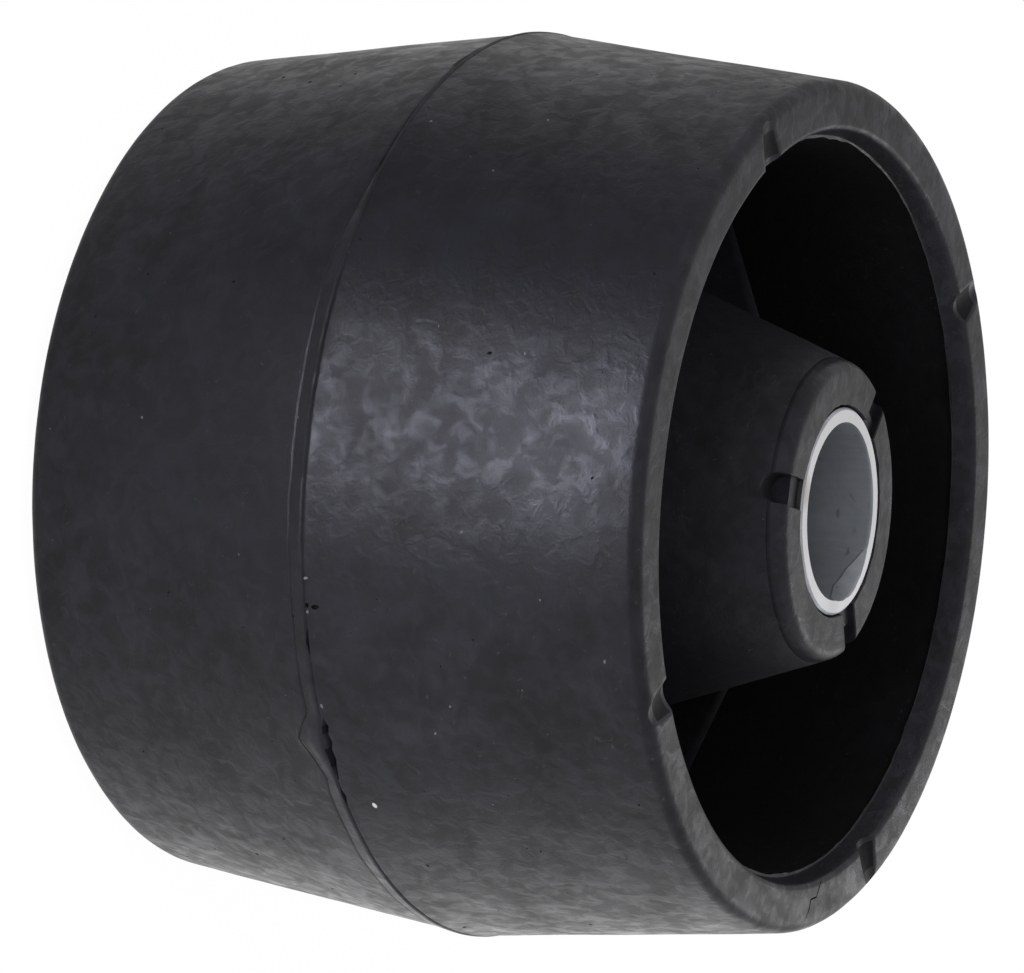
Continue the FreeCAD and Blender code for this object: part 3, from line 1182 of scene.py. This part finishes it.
def placeCamera(view):
    away = math.radians(view["awayFromAxis"])
    roll = math.radians(view["roll"])
    back = Vector((0, -math.sin(away), math.cos(away)))
    level = Vector((0, math.cos(away), math.sin(away)))
    over = Vector((-1, 0, 0))
    right = math.cos(roll) * level + math.sin(roll) * over
    up = -math.sin(roll) * level + math.cos(roll) * over
    centre = Vector((0, 0, middleHeight))
    shift = right * view["shiftRight"] + up * view["shiftUp"]
    place = centre + (back * view["distance"] - shift) * mm
    camera = bpy.data.objects.new("camera", bpy.data.cameras.new("camera"))
    camera.data.lens = view["lens"]
    camera.data.sensor_width = view["sensorWidth"]
    turned = Matrix((right, up, back)).transposed().to_4x4()
    camera.matrix_world = Matrix.Translation(place) @ turned
    bpy.context.scene.collection.objects.link(camera)
    bpy.context.scene.camera = camera
    return centre


centre = placeCamera(cameraView)

stageSettings = {
    "floorSize": 3.0,
    "floorColour": (0.80, 0.80, 0.80, 1),
    "glowColour": (1.0, 1.0, 1.0, 1),
    # Bluish tint of the glowing patch that paints the rubber's highlight in reflections
    "paintedHighlightColour": (0.93, 0.95, 1.18, 1),
    "floorGlow": 0.93,
    "glowStrength": 1.04,
    # Glow that glossy rays see on the floor: a gradient that paints reflected shade and light on
    # the rubber, and a patch that paints its highlight
    "dimGlow": 0.30,
    "dimFrom": -90.0,
    "brightGlow": 1.15,
    "brightFrom": 110.0,
    "backGlow": 0.62,
    "backFrom": (-50.0, 40.0),
    "backFade": (60.0, 160.0, 0.4),
    "paintedHighlightGlow": 31.0,
    "paintedHighlightAt": (-60.0, -295.0, 0.0),
    "paintedHighlightHalf": (120.0, 140.0, 1.0),
    "worldLight": 0.25,
    "mirroredWorld": 0.70,
}


def seenShare(tree, direct, mirrored, other):
    # One value for camera rays, one for glossy and transmission rays and one for the rest
    path = addNode(tree, "ShaderNodeLightPath")
    isMirrored = math2(tree, "MAXIMUM", path.outputs["Is Glossy Ray"],
                       path.outputs["Is Transmission Ray"])
    shown = addNode(tree, "ShaderNodeMix", {0: isMirrored, 2: other, 3: mirrored})
    isDirect = path.outputs["Is Camera Ray"]
    kept = product(tree, shown, math2(tree, "SUBTRACT", 1.0, isDirect))
    return math2(tree, "ADD", kept, product(tree, isDirect, direct))


def makeFloor(settings):
    # Camera rays see the floor evenly white with a faint shadow. Glossy and transmission rays see
    # only a painted glow: dimmer towards -X, brighter towards +X and behind the roller, which
    # paints reflected shade and light on the rubber, and a bluish patch in front, no lamp, which
    # paints the rubber's highlight.
    material, tree, surface = newMaterial("whitePaperFloor")
    feed(tree, surface, {
        "Base Color": settings["floorColour"], "Roughness": 0.9, "Specular IOR Level": 0.1})
    place = addNode(tree, "ShaderNodeTexCoord").outputs["Object"]
    parts = addNode(tree, "ShaderNodeSeparateXYZ", {0: place}).outputs
    middle = mapped(tree, parts[0], settings["dimFrom"] * mm, settings["brightFrom"] * mm,
                    settings["dimGlow"], settings["brightGlow"])
    near, far = settings["backFrom"]
    back = mapped(tree, parts[1], near * mm, far * mm, 0.0, settings["backGlow"])
    near, far, share = settings["backFade"]
    fade = mapped(tree, parts[1], near * mm, far * mm, 1.0, share)
    paintedReflectionGradient = math2(tree, "ADD", middle, product(tree, back, fade))
    away = vectorMath(tree, "SUBTRACT", place, Vector(settings["paintedHighlightAt"]) * mm)
    scaled = vectorMath(tree, "DIVIDE", away, Vector(settings["paintedHighlightHalf"]) * mm)
    paintedHighlightPatch = mapped(tree, vectorMath(tree, "LENGTH", scaled), 0.2, 1.0, 1.0, 0.0)
    lit = math2(tree, "ADD", paintedReflectionGradient, product(tree, paintedHighlightPatch, settings["paintedHighlightGlow"]))
    tint = product(tree, paintedHighlightPatch, seenShare(tree, 0.0, 1.0, 0.0))
    glow = addNode(tree, "ShaderNodeEmission", {
        "Color": mixColour(tree, tint, settings["glowColour"], settings["paintedHighlightColour"]),
        "Strength": seenShare(tree, settings["glowStrength"], lit, 0.0)})
    share = seenShare(tree, settings["floorGlow"], 1.0, 0.0)
    mix = addNode(tree, "ShaderNodeMixShader", {0: share, 1: surface, 2: glow})
    feed(tree, tree.nodes["Material Output"], {0: mix})
    half = settings["floorSize"]
    corners = [(-half, -half, 0), (half, -half, 0), (half, half, 0), (-half, half, 0)]
    floor = newObject("floor", meshFrom("floor", corners, [(0, 1, 2, 3)]))
    floor.data.materials.append(material)
    return floor


def makeWorld(settings):
    world = bpy.data.worlds.new("studio")
    world.use_nodes = True
    tree = world.node_tree
    strength = seenShare(tree, 1.0, settings["mirroredWorld"], settings["worldLight"])
    feed(tree, tree.nodes["Background"], {0: (1, 1, 1, 1), 1: strength})
    bpy.context.scene.world = world


lampSettings = {
    "keyLight": {"azimuth": -4, "elevation": 7, "distance": 1.3, "size": 0.34, "power": 10,
                 "colour": (0.88, 0.91, 1.0), "mirrored": False},
    "endLight": {"azimuth": 160, "elevation": 30, "distance": 0.7, "size": 0.30, "power": 0.65,
                 "colour": (1.0, 1.0, 1.0), "mirrored": True},
    "sideLight": {"azimuth": 85, "elevation": 12, "distance": 1.1, "size": 0.60, "power": 7,
                  "colour": (1.0, 0.99, 0.98), "mirrored": False},
    "openLight": {"azimuth": -28, "elevation": 52, "distance": 1.2, "size": 0.40, "power": 5,
                  "colour": (1.0, 1.0, 1.0), "mirrored": False},
}


def softLight(name, lamp):
    # A square lamp aimed at the roller. Azimuth 0 stands on the -Y side, 90 on the +X side
    azimuth = math.radians(lamp["azimuth"])
    elevation = math.radians(lamp["elevation"])
    flat = math.cos(elevation)
    toward = Vector((math.sin(azimuth) * flat, -math.cos(azimuth) * flat, math.sin(elevation)))
    light = bpy.data.objects.new(name, bpy.data.lights.new(name, "AREA"))
    light.data.size = lamp["size"]
    light.data.energy = lamp["power"]
    light.data.color = lamp["colour"]
    light.location = centre + toward * lamp["distance"]
    light.rotation_mode = "QUATERNION"
    light.rotation_quaternion = (-toward).to_track_quat("-Z", "Y")
    light.visible_camera = False
    light.visible_glossy = lamp["mirrored"]
    bpy.context.scene.collection.objects.link(light)


floor = makeFloor(stageSettings)
makeWorld(stageSettings)
for lampName, lamp in lampSettings.items():
    softLight(lampName, lamp)
bpy.context.scene.view_settings.view_transform = "Standard"
print("camera, floor and light placed")
